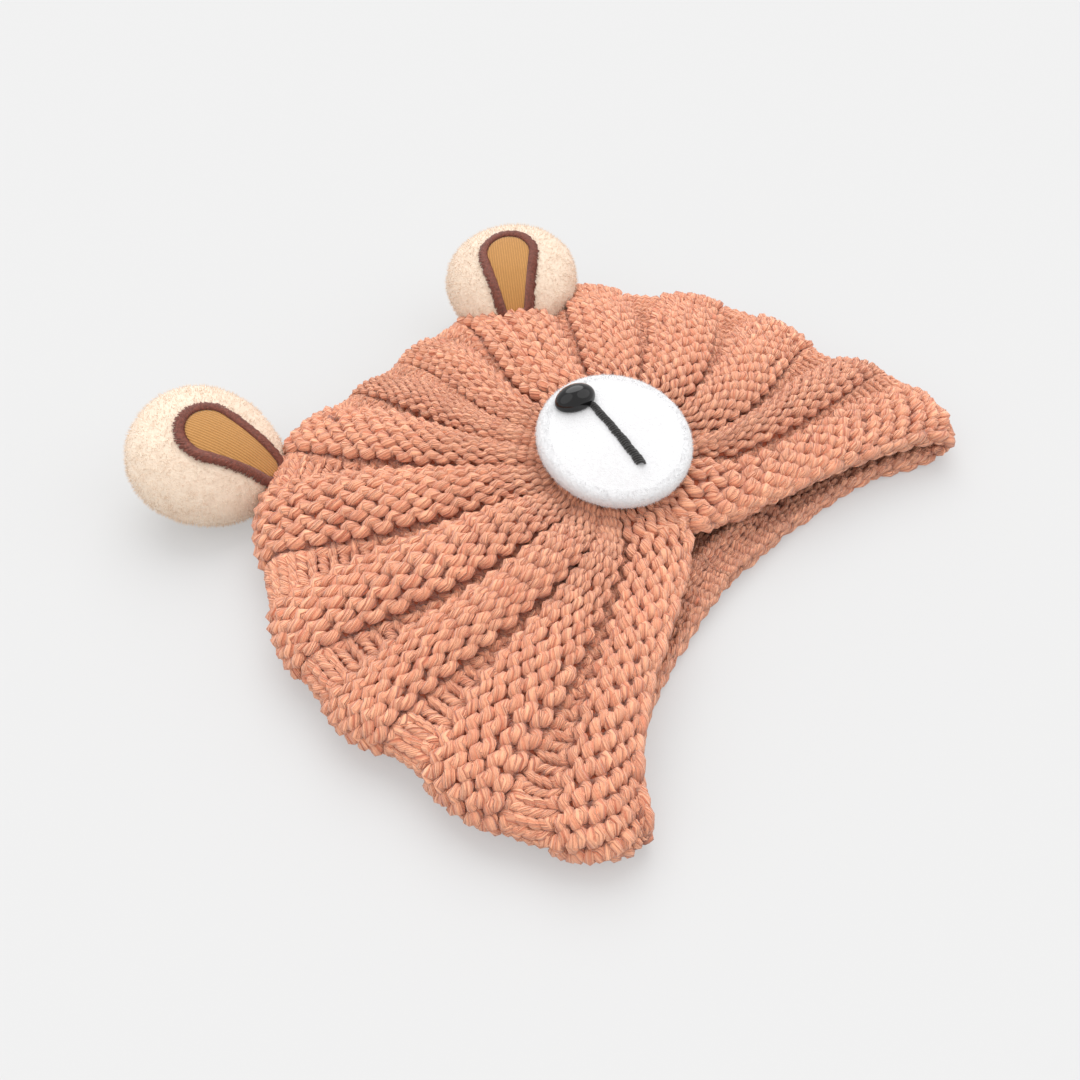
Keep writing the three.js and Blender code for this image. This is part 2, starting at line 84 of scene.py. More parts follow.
# ---- Sizes of the knitted shell, in millimetres, as in the part's source ----
RIB_HEIGHT = {"muzzle": 3.2, "front": 6.0, "middle": 6.0, "fold": 2.5, "back": 3.4, "seam": 2.6}
RIB_HALF = {"muzzle": 0.5, "front": 0.46, "middle": 0.42, "fold": 0.32, "back": 0.36, "seam": 0.42}
WALL = 4.4
BACK_HEIGHT = 5.1
FOLD_REACH = 8.5
SEAM_X = -3.0
STITCHED = 29.0
TIP_SPAN, TIP_ROUND = 0.5, 5.0
CLEAR = 0.3
PULL = 0.35  # share of the way over which a rib keeps its direction at the fold and at the seam
TILT_KEPT = 0.35  # share of the muzzle's tilt that the front has just beside it
FREE_FROM = 41  # distance from the gather's middle where the muzzle no longer holds the front down
CREST_ROUND = 0.3  # how far the rows crowd towards the sides of a crest
DISC = {"radius": 24.5, "edge": 5.6, "crown": 2.2, "x": 1.0, "y": -1.2, "top": 36.6}
DISC_NORMAL = Vector((-0.095, -0.229, 0.969)).normalized()
NOSE = {"x": 0.0, "y": 16.5, "width": 13.3, "height": 9.0, "dome": 5.4, "spin": -22.0}
MOUTH = {"from": (1.9, 10.3), "to": (-4.0, -12.4), "width": 2.4, "thick": 1.6}
EAR = {"width": 25.0, "length": 26.0, "depth": 15.5, "narrow": 0.1}
PATCH = {"wide": 7.6, "wide_at": 1.5, "small": 3.6, "small_at": -18.0, "border": 2.8}
EARS = {
    "left": {"at": (-74.6, 103.4, 17.4), "points": 116, "roll": -9, "raised": 24},
    "right": {"at": (53.2, 85.8, 23.6), "points": 45, "roll": -5, "raised": 13},
}
# The lines between the ribs, a row for each: direction at the gather, share of the front that keeps it, place
# and direction of the fold, its height, the front's height half way, the line's depth, and its place on the
# back seam and direction there.
LINE_FIELDS = ("start", "lead", "x", "y", "turn", "top", "loft", "dip", "seam", "side")
LINES = np.array([
    (265, 0.13, -90.3, -80.7, 224, 12, 12.5, 0.3, -47, 184),
    (225.3, 0.14, -107.3, -56, 200.5, 13.2, 17.5, 0.8, -37, 182),
    (207.7, 0.27, -110.8, -18.8, 186, 14.5, 22.5, 1, -24, 180),
    (186, 0.45, -110.8, 15.2, 166, 15, 24.5, 1, -11, 176),
    (163, 0.3, -95.2, 50.5, 146, 15.5, 24.5, 1, 1, 165),
    (141, 0.3, -64.2, 84.9, 120, 16.5, 24.5, 1, 11, 146),
    (126, 0.3, -27.1, 93, 100, 17, 24.5, 0.9, 18, 120),
    (113, 0.3, -6, 91, 91, 17.5, 24.5, 0.35, 21, 90),
    (90, 0.3, 20.4, 91.5, 82, 19.5, 24.5, 0.9, 18, 60),
    (52, 0.3, 61.8, 81.1, 60, 18.5, 24.5, 1, 11, 34),
    (22, 0.3, 87.8, 51.6, 34, 16.5, 24.5, 1, 1, 15),
    (-6, 0.4, 104.7, 18, 12, 15.5, 24.5, 1, -11, 4),
    (-28.7, 0.35, 102.9, -19.3, -4.7, 14.5, 22, 1, -24, 0),
    (-41.2, 0.31, 108.5, -44.1, -13, 12.5, 16, 0.8, -37, -2),
    (-95, 0.07, 95.9, -74, -31.5, 11, 12.5, 0.3, -47, -4),
], float)
RIBS = len(LINES) - 1
FIELD = dict(zip(LINE_FIELDS, LINES.T))

PANELS = ("left_lobe", "left", "right", "right_lobe")
CAP_NODES = ["knit_gather", *(f"knit_{layer}_{panel}" for layer in ("front", "back") for panel in PANELS)]

COURSES = 10  # knitted rows in each rib: purl on its crest, plain in the dip beside it
DIP_COURSES = 2  # plain rows on each side of a line


# ---- The surface that the yarn follows ----
def smooth(x, low, high):
    """0 below low, 1 above high, eased between."""
    t = np.clip((x - low) / (high - low), 0, 1)
    return t * t * (3 - 2 * t)


def column(name, v):
    """A field of the lines at any place v across the ribs."""
    row = np.minimum(np.floor(v).astype(int), RIBS - 1)
    a, b, c, d = (FIELD[name][np.clip(row + k, 0, RIBS)] for k in (-1, 0, 1, 2))
    t = v - row
    return b + 0.5 * t * (c - a + t * (2 * a - 5 * b + 4 * c - d + t * (3 * (b - c) + d - a)))


def heading(degrees):
    angle = np.radians(degrees)
    return np.stack([np.cos(angle), np.sin(angle)], -1)


def along(sizes, u):
    """A size that changes from the muzzle to the back seam."""
    stops = ((0.82, "muzzle"), (1.2, "front"), (1.6, "middle"), (2.1, "fold"), (2.5, "fold"), (3.0, "back"),
             (3.6, "back"), (4.0, "seam"))
    value = np.full(u.shape, sizes["muzzle"])
    for (low, first), (high, second) in zip(stops, stops[1:]):
        value = np.where(u > low, sizes[first] + (sizes[second] - sizes[first]) * smooth(u, low, high), value)
    return value


def unit(vectors):
    return vectors / np.maximum(np.linalg.norm(vectors, axis=-1, keepdims=True), 1e-12)


def run_along(points):
    """The distance along a line of points to each of them."""
    return np.concatenate([[0], np.cumsum(np.linalg.norm(np.diff(points, axis=0), axis=1))])


def lifted(flat, height):
    """Flat places or directions, given their heights."""
    return np.concatenate([flat, height[..., None]], -1)


def bezier(a, b, c, d, t):
    t = t[..., None]
    s = 1 - t
    return s ** 3 * a + 3 * s * s * t * b + 3 * s * t * t * c + t ** 3 * d


SLOPE = np.array([-DISC_NORMAL.x, -DISC_NORMAL.y]) / DISC_NORMAL.z
UNDER_DISC = DISC["crown"] + DISC["edge"] + CLEAR + RIB_HEIGHT["muzzle"] + WALL / 2
GATHER_HEIGHT = DISC["top"] - UNDER_DISC / DISC_NORMAL.z


def front_height(place, top, loft, t):
    rise = place @ SLOPE
    free = loft + (top - loft) * t * t * (2 - t) + TILT_KEPT * rise * (1 - t)
    return GATHER_HEIGHT + rise + (free - GATHER_HEIGHT - rise) * smooth(
        np.linalg.norm(place, axis=-1), DISC["radius"] - 1, FREE_FROM)


def strip_middle(u, v):
    """The middle of the strip at u along the ribs and v across them, and the direction out of it.
    u is 0 at the gather's middle, 1 at its edge, 2 to 3 round the fold and 4 at the back seam."""
    start, turn = heading(column("start", v)), heading(column("turn", v))
    tip = np.maximum(0, 1 - np.minimum(v, RIBS - v) / TIP_SPAN) ** 2
    fold = np.stack([column("x", v), column("y", v)], -1) - turn * (FOLD_REACH + TIP_ROUND * tip)[..., None]
    top, loft = column("top", v), column("loft", v)
    rise = np.array(DISC_NORMAL)
    # under the muzzle and over the front
    leave = start * STITCHED
    span = np.linalg.norm(fold - leave, axis=-1)[..., None]
    b, c = leave + start * span * column("lead", v)[..., None], fold - turn * span * PULL

    def front(t):
        place = bezier(leave, b, c, fold, t)
        return lifted(place, front_height(place, top, loft, t))

    t = np.clip(u - 1, 0, 1)
    near, far = front(np.maximum(t - 0.02, 0)), front(np.minimum(t + 0.02, 1))
    run = far[..., :2] - near[..., :2]
    slope = (near[..., 2] - far[..., 2]) / np.linalg.norm(run, axis=-1)
    free = unit(lifted(unit(run) * slope[..., None], np.ones(u.shape)))
    out = unit(rise + (free - rise) * smooth(t, 0, 0.3)[..., None])
    point = front(t)
    middle = start * (np.clip(u, 0, 1) * STITCHED)[..., None]
    middle = lifted(middle, front_height(middle, top, loft, np.zeros(u.shape)))
    point = np.where((u < 1)[..., None], middle, point)
    # round the fold
    angle = np.clip(u - 2, 0, 1) * math.pi
    half = (top - BACK_HEIGHT) / 2
    bend = lifted(fold + turn * (FOLD_REACH * np.sin(angle))[..., None],
                  BACK_HEIGHT + half + half * np.cos(angle))
    around = lifted(turn * np.sin(angle)[..., None], np.cos(angle))
    point = np.where((u > 2)[..., None], bend, point)
    out = np.where((u > 2)[..., None], around, out)
    # and back to the seam
    end = np.stack([np.full(v.shape, SEAM_X), column("seam", v)], -1)
    span = np.linalg.norm(fold - end, axis=-1)[..., None]
    back = bezier(fold, fold - turn * span * PULL, end + heading(column("side", v)) * span * PULL, end,
                  np.clip(u - 3, 0, 1))
    back = lifted(back, np.full(u.shape, BACK_HEIGHT))
    point = np.where((u >= 3)[..., None], back, point)
    out = np.where((u >= 3)[..., None], np.array([0.0, 0.0, -1.0]), out)
    return point, out


def ribbed(u, q, depth=0.0):
    """A point on the fabric: q counts knitted rows across all ribs, depth is how far in it lies."""
    q = np.clip(q, 0, RIBS * COURSES)
    rib = np.minimum(np.floor(q / COURSES), RIBS - 1)
    place = q - rib * COURSES
    half = along(RIB_HALF, u)
    share = np.clip((place - COURSES / 2) / (COURSES / 2 - DIP_COURSES), -1, 1)
    crest = (1 - CREST_ROUND) * share + CREST_ROUND * np.sin(share * math.pi / 2)
    flat = 0.5 - half
    f = np.where(place < DIP_COURSES, place / DIP_COURSES * flat,
                 np.where(place > COURSES - DIP_COURSES, 1 - (COURSES - place) / DIP_COURSES * flat,
                          0.5 + half * crest))
    bulge = np.sqrt(np.maximum(0, 1 - crest * crest))
    dip = FIELD["dip"][np.where(f < 0.5, rib, rib + 1).astype(int)]
    raised = along(RIB_HEIGHT, u) * (1 - dip * (1 - bulge) * smooth(u, 0, 0.35))
    point, out = strip_middle(u, rib + f)
    point = point + out * (raised + WALL / 2 - depth)[..., None]
    point[..., 2] = np.maximum(point[..., 2], 0.0)
    return point


def facing(u, q):
    """The direction straight out of the ribbed fabric."""
    du, dq = 0.006, 0.3
    lengthwise = ribbed(np.minimum(u + du, 4), q) - ribbed(np.maximum(u - du, 0), q)
    across = ribbed(u, q + dq) - ribbed(u, q - dq)
    return unit(np.cross(across, lengthwise))


# ---- Small makers ----
def linked(name, data):
    """A new object in the scene."""
    made = bpy.data.objects.new(name, data)
    bpy.context.scene.collection.objects.link(made)
    return made


def new_piece(name, mesh, finish, smooth_faces=True):
    """Adds a finished mesh as a piece of the hat."""
    piece = linked(name, mesh)
    mesh.materials.append(finish)
    if smooth_faces:
        mesh.shade_smooth()
    mesh.update()
    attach(piece, "root")
    return piece


def mesh_from(bm, name, closed=True):
    """The finished mesh; a closed one's faces are turned outwards."""
    if closed:
        bmesh.ops.recalc_face_normals(bm, faces=bm.faces)
    mesh = bpy.data.meshes.new(name)
    bm.to_mesh(mesh)
    bm.free()
    return mesh


def solid_of(piece):
    """The piece's mesh with its modifiers applied."""
    shape = piece.evaluated_get(bpy.context.evaluated_depsgraph_get())
    return bpy.data.meshes.new_from_object(shape)


def apply_modifiers(piece):
    piece.data = solid_of(piece)
    piece.modifiers.clear()


def spun(profile, scale, steps):
    """A closed shape turned round Z: its profile's points are (distance from Z, height)."""
    bm = bmesh.new()
    line = [bm.verts.new(Vector((x, 0, z)) * scale) for x, z in profile]
    edges = [bm.edges.new(pair) for pair in zip(line, line[1:])]
    bmesh.ops.spin(bm, geom=line + edges, axis=(0, 0, 1), cent=(0, 0, 0), steps=steps, angle=2 * math.pi,
                   use_merge=True)
    bmesh.ops.remove_doubles(bm, verts=bm.verts, dist=1e-3 * scale)
    bm.verts.index_update()
    count = len(bm.verts)
    # spin leaves its faces in a new order on every run, and the pile is drawn over them
    bm.faces.sort(key=lambda f: min(v.index for v in f.verts) * count + max(v.index for v in f.verts))
    return bm


def turned_to(out):
    """The turn that takes Z to another direction."""
    return Vector((0, 0, 1)).rotation_difference(out).to_matrix().to_4x4()


def ring_points(sides):
    """How many points a curve's bevel has round it."""
    return 4 + 2 * sides


def yarn_mesh(name, paths, radii, sides):
    """Round yarn laid along paths: one closed tube for each, with its maps."""
    curve = bpy.data.curves.new(name, "CURVE")
    curve.dimensions = "3D"
    curve.bevel_depth = 1.0
    curve.bevel_resolution = sides
    for path, radius in zip(paths, radii):
        spline = curve.splines.new("POLY")
        spline.points.add(len(path) - 1)
        places = np.concatenate([path * MM, np.ones((len(path), 1))], 1)
        spline.points.foreach_set("co", places.ravel())
        spline.points.foreach_set("radius", radius * MM)
    holder = linked(name, curve)
    bpy.context.view_layer.update()
    mesh = solid_of(holder)
    bpy.data.objects.remove(holder)
    bpy.data.curves.remove(curve)
    while mesh.uv_layers:
        mesh.uv_layers.remove(mesh.uv_layers[0])
    bm = bmesh.new()
    bm.from_mesh(mesh)
    ends = [edge for edge in bm.edges if edge.is_boundary]
    bmesh.ops.holes_fill(bm, edges=ends, sides=0)
    bmesh.ops.recalc_face_normals(bm, faces=bm.faces)
    bm.to_mesh(mesh)
    bm.free()
    map_yarn(mesh, paths, ring_points(sides))
    mesh.name = name
    return mesh


def map_yarn(mesh, paths, ring):
    """Gives yarn its maps: length and turn along it, and one row of the bake for each path."""
    counts = np.array([len(path) for path in paths])
    row = np.repeat(np.arange(len(paths)), counts)
    length = np.concatenate([run_along(path) for path in paths])
    share = np.concatenate([np.linspace(0, 1, n) for n in counts])
    corner = np.empty(len(mesh.loops), np.int32)
    mesh.loops.foreach_get("vertex_index", corner)
    total = np.empty(len(mesh.polygons), np.int32)
    mesh.polygons.foreach_get("loop_total", total)
    face = np.repeat(np.arange(len(total)), total)
    at, side = corner // ring, (corner % ring).astype(float)
    last = np.zeros(len(total), bool)
    np.logical_or.at(last, face, side == ring - 1)
    side[(side == 0) & last[face] & (total[face] == 4)] = ring
    yarn = mesh.uv_layers.new(name="yarn")
    yarn.data.foreach_set("uv", np.stack([length[at], side / ring], 1).astype(np.float32).ravel())
    bake = mesh.uv_layers.new(name="OFBake")
    end, edge = 0.002, 0.08  # margins left round each row of the bake
    height = (row[at] + edge + (1 - 2 * edge) * side / ring) / len(paths)
    across = end + (1 - 2 * end) * share[at]
    bake.data.foreach_set("uv", np.stack([across, height], 1).astype(np.float32).ravel())
    mesh.uv_layers.active = bake


# ---- Shader maths ----
def maths(operation):
    """A method that adds one Math node to a finish."""
    return lambda self, *others: self.finish.node("ShaderNodeMath", {"operation": operation}, self, *others)


class Varying:
    """A number that varies over a surface. Arithmetic on it adds Math nodes to its finish."""

    def __init__(self, finish, socket):
        self.finish, self.socket = finish, socket

    __add__ = __radd__ = maths("ADD")
    __mul__ = __rmul__ = maths("MULTIPLY")
    __sub__, __truediv__, __pow__ = maths("SUBTRACT"), maths("DIVIDE"), maths("POWER")
    cosine, sine, fraction, size = maths("COSINE"), maths("SINE"), maths("FRACT"), maths("ABSOLUTE")

    def __rsub__(self, other):
        return self.finish.node("ShaderNodeMath", {"operation": "SUBTRACT"}, other, self)


class Finish:
    """A Principled shader and the nodes that feed it. Constants are set on its own sockets."""

    def __init__(self, name, **constants):
        self.material = bpy.data.materials.new(name)
        self.material.use_nodes = True
        self.tree = self.material.node_tree
        self.shader = next(n for n in self.tree.nodes if n.type == "BSDF_PRINCIPLED")
        for socket, value in constants.items():
            self.shader.inputs[socket.replace("_", " ")].default_value = value

    def node(self, kind, settings, *values, output=0, **named):
        """Adds a node: its settings, then its sockets in order or by name. Returns one of its outputs."""
        node = self.tree.nodes.new(kind)
        for key, value in settings.items():
            setattr(node, key, value)
        for socket, value in zip([s for s in node.inputs if s.enabled], values):
            self.feed(socket, value)
        for key, value in named.items():
            self.feed(node.inputs[key], value)
        outputs = [s for s in node.outputs if s.enabled] if output == 0 else node.outputs
        return Varying(self, outputs[output])

    def feed(self, socket, value):
        if isinstance(value, Varying):
            self.tree.links.new(value.socket, socket)
        else:
            socket.default_value = value

    def set(self, socket, value):
        self.feed(self.shader.inputs[socket], value)

    def place(self):
        """Object coordinates, through the node that can shift or turn them."""
        return self.node("ShaderNodeMapping", {}, self.node("ShaderNodeTexCoord", {}, output="Object"))

    def map(self, name):
        return self.node("ShaderNodeUVMap", {"uv_map": name})

    def parts(self, vector):
        """The first two parts of a vector."""
        spot = self.node("ShaderNodeSeparateXYZ", {}, vector)
        return spot, Varying(self, spot.socket.node.outputs[1])

    def noise(self, vector, scale, detail=2.0, rough=0.5):
        return self.node("ShaderNodeTexNoise", {}, vector, Scale=scale, Detail=detail, Roughness=rough,
                         output="Fac")

    def spread(self, value, low, high):
        """Maps low..high to 0..1, clamped."""
        return self.node("ShaderNodeMapRange", {}, value, low, high, 0.0, 1.0, output="Result")

    def mix(self, share, first, second):
        """A colour between two, by share."""
        return self.node("ShaderNodeMix", {"data_type": "RGBA"}, share, first, second)

    def dress(self, tone, height, distance, strength=1.0):
        """Sets the colour and the relief, and gives the finished material."""
        self.set("Base Color", tone)
        relief = self.node("ShaderNodeBump", {}, Strength=strength, Distance=distance, Height=height)
        self.set("Normal", relief)
        return self.material


def linear(red, green, blue):
    """A colour given as it looks on a screen, 0 to 255, as linear light."""
    shares = (red / 255, green / 255, blue / 255)
    return *(((c + 0.055) / 1.055) ** 2.4 if c > 0.04045 else c / 12.92 for c in shares), 1.0


def darker(colour, share):
    return *(c * share for c in colour[:3]), 1.0


def yarn_finish(size):
    """Plied chunky yarn: strands wound round it, soft fibres, painted light and shade on its plies, and a
    darker colour between the stitches as painted shade.
    """
    finish = Finish("salmon yarn", Roughness=0.95, Specular_IOR_Level=0.1, Sheen_Weight=0.3,
                    Sheen_Roughness=0.6)
    length, turn = finish.parts(finish.map("yarn"))
    plies, lay = 4, 2.8  # strands in the yarn, and how far apart they lie along it, mm
    wound = length / (plies * lay) + turn
    angle = wound * (2 * math.pi)
    along_fibres = finish.node(
        "ShaderNodeCombineXYZ", {}, angle.cosine() * 3.2, angle.sine() * 3.2, length * 0.1)
    strands = finish.spread(finish.noise(along_fibres, 1.0, 2.0, 0.5), 0.32, 0.62)
    ply = 1 - (((wound * plies).fraction() - 0.5) * 2).size() ** 4
    spot = finish.place()
    fuzz = finish.noise(spot, 2600.0, 3.0, 0.6)
    patches = finish.noise(spot, 160.0, 2.0)
    deep = finish.node("ShaderNodeAttribute", {"attribute_name": "deep"}, output="Fac")
    # painted light and shade: the ply grooves take the shaded colour and the middle of each ply the lit one;
    # the strand streaks and fuzz are partly painted shade and partly the fibres' own uneven tone
    proud = finish.spread(strands * 0.62 + ply * 0.38 + (fuzz - 0.5) * 0.4, 0.2, 0.85)
    tone = finish.mix(proud, size.shaded, size.lit)
    # random patches of the darker colour: the yarn's own uneven tone
    tone = finish.mix(finish.spread(patches, 0.3, 0.75) * 0.3, tone, size.shaded)
    # painted shade: the deeper the yarn lies between the stitches, the more it takes the darker colour of the
    # hollows
    tone = finish.mix(finish.spread(deep, 0.1, 1.0) * 0.8, tone, size.hollow_shade)
    return finish.dress(tone, strands * 0.8 + ply * 0.6 + fuzz * 0.25, 0.0008, 0.9)


def plush_finish(name, lit, shaded, tuft=700.0):
    """Short pile: soft tufts with a little shade between them."""
    finish = Finish(name, Roughness=0.95, Specular_IOR_Level=0.15, Sheen_Weight=0.35, Sheen_Roughness=0.4)
    spot = finish.place()
    tufts = finish.noise(spot, tuft, 3.0, 0.65)
    fibres = finish.noise(spot, tuft * 4, 2.0, 0.6)
    waves = finish.noise(spot, 60.0, 2.0)
    tone = finish.mix(finish.spread(tufts * 0.5 + waves * 0.5, 0.3, 0.62), shaded, lit)
    return finish.dress(tone, tufts + fibres * 0.5, 0.0007, 0.6)


# ---- Settings that a user would change ----
def tint(name, description, *screen):
    """A setting for a colour, given as it looks on a screen."""
    return FloatVectorProperty(
        name=name, description=description, size=4, subtype="COLOR", default=linear(*screen))


def amount(name, description, default, least=0, kind=FloatProperty):
    return kind(name=name, description=description, default=default, min=least)


class KnitSettings(bpy.types.PropertyGroup):
    stitches: amount("Stitches", "Stitches along each knitted row", 33, 12, IntProperty)
    yarn: amount("Yarn", "Thickness of the yarn, mm", 3.25, 0.5)
    loop: amount("Loop height", "Height of a loop, in rows", 1.5, 1)
    depth: amount("Loop depth", "How far the loops rise and sink, mm", 1.4)
    # lit and shaded are painted light and shade on the yarn's plies; the colour between the stitches is
    # painted shade down in the hollows
    lit: tint("Yarn colour", "Colour of the yarn where it stands proud", 252, 182, 143)
    shaded: tint("Between the plies", "Colour between the yarn's strands", 210, 116, 84)
    hollow_shade: tint("Between the stitches", "Colour down between the stitches", 142, 64, 42)


class EarSettings(bpy.types.PropertyGroup):
    plush: tint("Plush", "Colour of the ears' plush", 234, 216, 196)
    plush_shade: tint("Plush shade", "Colour between its tufts", 225, 201, 180)
    felt: tint("Felt", "Colour of the patches", 193, 139, 78)
    thread: tint("Border thread", "Colour of the satin stitch", 126, 66, 50)
    stuffing: amount("Stuffing", "Pressure that fills the ears", 4.0)
    pile: amount("Pile", "Tufts tried on each ear", 15000, 0, IntProperty)


class MuzzleSettings(bpy.types.PropertyGroup):
    plush: tint("Plush", "Colour of the muzzle", 222, 222, 223)
    shade: tint("Plush shade", "Colour between its tufts", 214, 212, 213)
    pile: amount("Pile", "Tufts tried all over, kept at the rim", 27000, 0, IntProperty)


class StudioSettings(bpy.types.PropertyGroup):
    floor: tint("Floor", "Colour of the floor", 152, 152, 152)
    key: amount("Key light", "Strength of the large soft light", 1.95)
    glow: amount("Floor glow", "Light from the floor itself", 0.36)
    fill: amount("Fill", "Strength of the light from all round", 0.88)


def settings(group):
    return getattr(bpy.context.scene, "hat_" + group)


# ---- The knitted rows ----
PURL_LEAN = 0.12  # how far a loop's legs lean over its neck, as a share of the stitch
PLAIN_LEAN = 0.02  # the same in the dips, where the legs stand apart as a V
POINTS_SHOWN, POINTS_UNDER = 12, 8  # points along a stitch where it shows, and under the hat
UNDER_FROM = 2.8  # the place u from which a row lies under the hat
INSIDE_STITCH = 6.6  # length of a stitch on the inner side, and of a link of the brim
ROW_PITCH = 3.4  # distance between rows where the yarn has its own thickness
THINNEST, THICKEST = 0.66, 1.22  # what closer or wider rows make of that thickness
EVENED = 13  # points over which thickness is evened out
NEAR_EDGE = 0.25  # rows from the strip's edge past which a loop runs straight on
# How far stitches stray along the row, in height, across it and in thickness; and the brim's links along it,
# outwards, away from its edge and in thickness.
STITCH_STRAY = (0.035, 0.04, 0.06, 0.05)
LINK_STRAY = (0.16, 0.45, 0.4, 0.12)


def stray(chance, t, stitches, spreads):
    """Random changes along a row, a new one at each stitch, for each spread."""
    knots = np.arange(stitches + 2)
    return [np.interp(t, knots, chance.normal(0, spread, len(knots))) for spread in spreads]


def loops_of(first, size, seed, start=0.55, inside=False):
    """Paths of the yarn for the rows of two ribs: each loop is drawn through the row before it.
    Seen from inside, every row shows its purl side."""
    chance = np.random.default_rng(seed)
    guide = np.linspace(start, 4.0, 260)
    paths, radii, shade_depths = [], [], []
    for row in range(first * COURSES, (first + 2) * COURSES):
        middle = row + 0.5
        run = run_along(ribbed(guide, np.full(guide.shape, middle)))
        stitches = round(run[-1] / INSIDE_STITCH) if inside else size.stitches
        width = run[-1] / stitches
        under = math.ceil(np.interp(UNDER_FROM, guide, run) / width)
        t = np.concatenate([np.arange(0, under, 1 / POINTS_SHOWN),
                            np.arange(under, stitches + 0.01, 1 / POINTS_UNDER)])
        turn = t * 2 * math.pi
        place = row % COURSES
        plain = place < DIP_COURSES or place >= COURSES - DIP_COURSES
        plain = plain and DIP_COURSES <= row < RIBS * COURSES - DIP_COURSES and not inside
        wander = stray(chance, t, stitches, STITCH_STRAY)
        lean = PLAIN_LEAN if plain else PURL_LEAN
        lengthwise = (t + wander[0] + lean * np.sin(2 * turn)) * width
        u = np.interp(lengthwise, run, guide)
        swing = np.sign(np.cos(turn)) * np.abs(np.cos(turn)) ** 0.8
        free = middle - (size.loop / 2) * swing * (1 + wander[1]) + wander[2]
        q = np.clip(free, NEAR_EDGE, RIBS * COURSES - NEAR_EDGE)
        rise = size.depth * (-1 if plain else 1) * np.cos(2 * turn)
        gap = np.linalg.norm(ribbed(u, q + 0.5) - ribbed(u, q - 0.5), axis=-1)
        thick = size.yarn / 2 * np.clip(gap / ROW_PITCH, THINNEST, THICKEST) * (1 + wander[3])
        thick = np.convolve(np.pad(thick, EVENED // 2, mode="edge"), np.ones(EVENED) / EVENED, mode="valid")
        loft = np.clip(thick / (size.yarn / 2), 0.5, 1.0)
        below = WALL + 0.6 if inside else size.depth + size.yarn / 2
        out = facing(u, q) * (-1 if inside else 1)
        point = ribbed(u, q, depth=below) + out * (rise * loft)[..., None]
        if np.any(free != q):
            across = (ribbed(u, q + NEAR_EDGE) - ribbed(u, q - NEAR_EDGE)) / (2 * NEAR_EDGE)
            point += across * (free - q)[..., None]
        point[:, 2] = np.maximum(point[:, 2], thick)
        paths.append(point + HAT_SHIFT)
        radii.append(thick)
        # how deep the yarn lies, which sets its painted shade between the stitches
        shade_depths.append(np.clip(0.5 - rise / (2 * size.depth), 0, 1))
    return paths, radii, shade_depths


def lay_yarn(name, paths, radii, shade_depths, finish):
    """Knitted yarn, with how deep it lies between the stitches, which sets its painted shade."""
    mesh = yarn_mesh(name, paths, radii, 1)
    deep = mesh.attributes.new("deep", "FLOAT", "POINT")
    deep.data.foreach_set("value", np.repeat(np.concatenate(shade_depths), ring_points(1)).astype(np.float32))
    return new_piece(name, mesh, finish)


class HAT_OT_knit(bpy.types.Operator):
    """Knits the ribs, two ribs to a piece"""
    bl_idname = "hat.knit_ribs"
    bl_label = "Knit the ribs"

    def execute(self, context):
        size = settings("knit")
        finish = yarn_finish(size)
        for first in range(0, RIBS, 2):
            lay_yarn(f"knit_ribs_{first + 1}_{first + 2}", *loops_of(first, size, first), finish)
        for side, first in (("left", 0), ("right", RIBS - 2)):
            laid = loops_of(first, size, len(side), start=2.6, inside=True)
            lay_yarn(f"knit_inside_{side}", *laid, finish)
        return {"FINISHED"}


class HAT_OT_brim(bpy.types.Operator):
    """Binds off the brim: a chain of round stitches along each edge of the strip"""
    bl_idname = "hat.bind_off"
    bl_label = "Bind off the brim"

    def execute(self, context):
        size = settings("knit")
        finish = bpy.data.materials["salmon yarn"]
        for name, q, side in (("brim_edge_left", 0.0, -1), ("brim_edge_right", float(RIBS * COURSES), 1)):
            chance = np.random.default_rng(40 + side)
            guide = np.linspace(0.95, 4.0, 400)
            run = run_along(ribbed(guide, np.full(guide.shape, q), depth=WALL / 2))
            links = round(run[-1] / INSIDE_STITCH)
            width = run[-1] / links
            t = np.linspace(0, links, links * 12 + 1)
            turn = t * 2 * math.pi
            wander = stray(chance, t, links, LINK_STRAY)
            u = np.interp((t + wander[0]) * width + 0.3 * width * np.sin(2 * turn), run, guide)
            at = np.full(u.shape, q)
            out = facing(u, at)
            away = unit(ribbed(u, at) - ribbed(u, at - side * 0.6))
            path = (ribbed(u, at, depth=WALL * 0.6) + out * (1.3 * np.cos(turn) + wander[1])[:, None]
                    + away * (np.cos(2 * turn) + wander[2] - 0.9)[:, None])
            thick = size.yarn / 2 * (1.0 + wander[3])
            path[:, 2] = np.maximum(path[:, 2], thick)
            # the last list says how deep the chain lies, which sets its painted shade
            lay_yarn(name, [path + HAT_SHIFT], [thick], [0.5 - 0.5 * np.cos(2 * turn)], finish)
        return {"FINISHED"}


# The fabric's ground, a sheet coloured in painted shade behind the stitches: its start along the ribs, depth
# as a share of the wall, lowest height and thickness, m.
GROUND = {"start": 0.5, "depth": 0.75, "lowest": 0.0012, "thick": 0.0008}


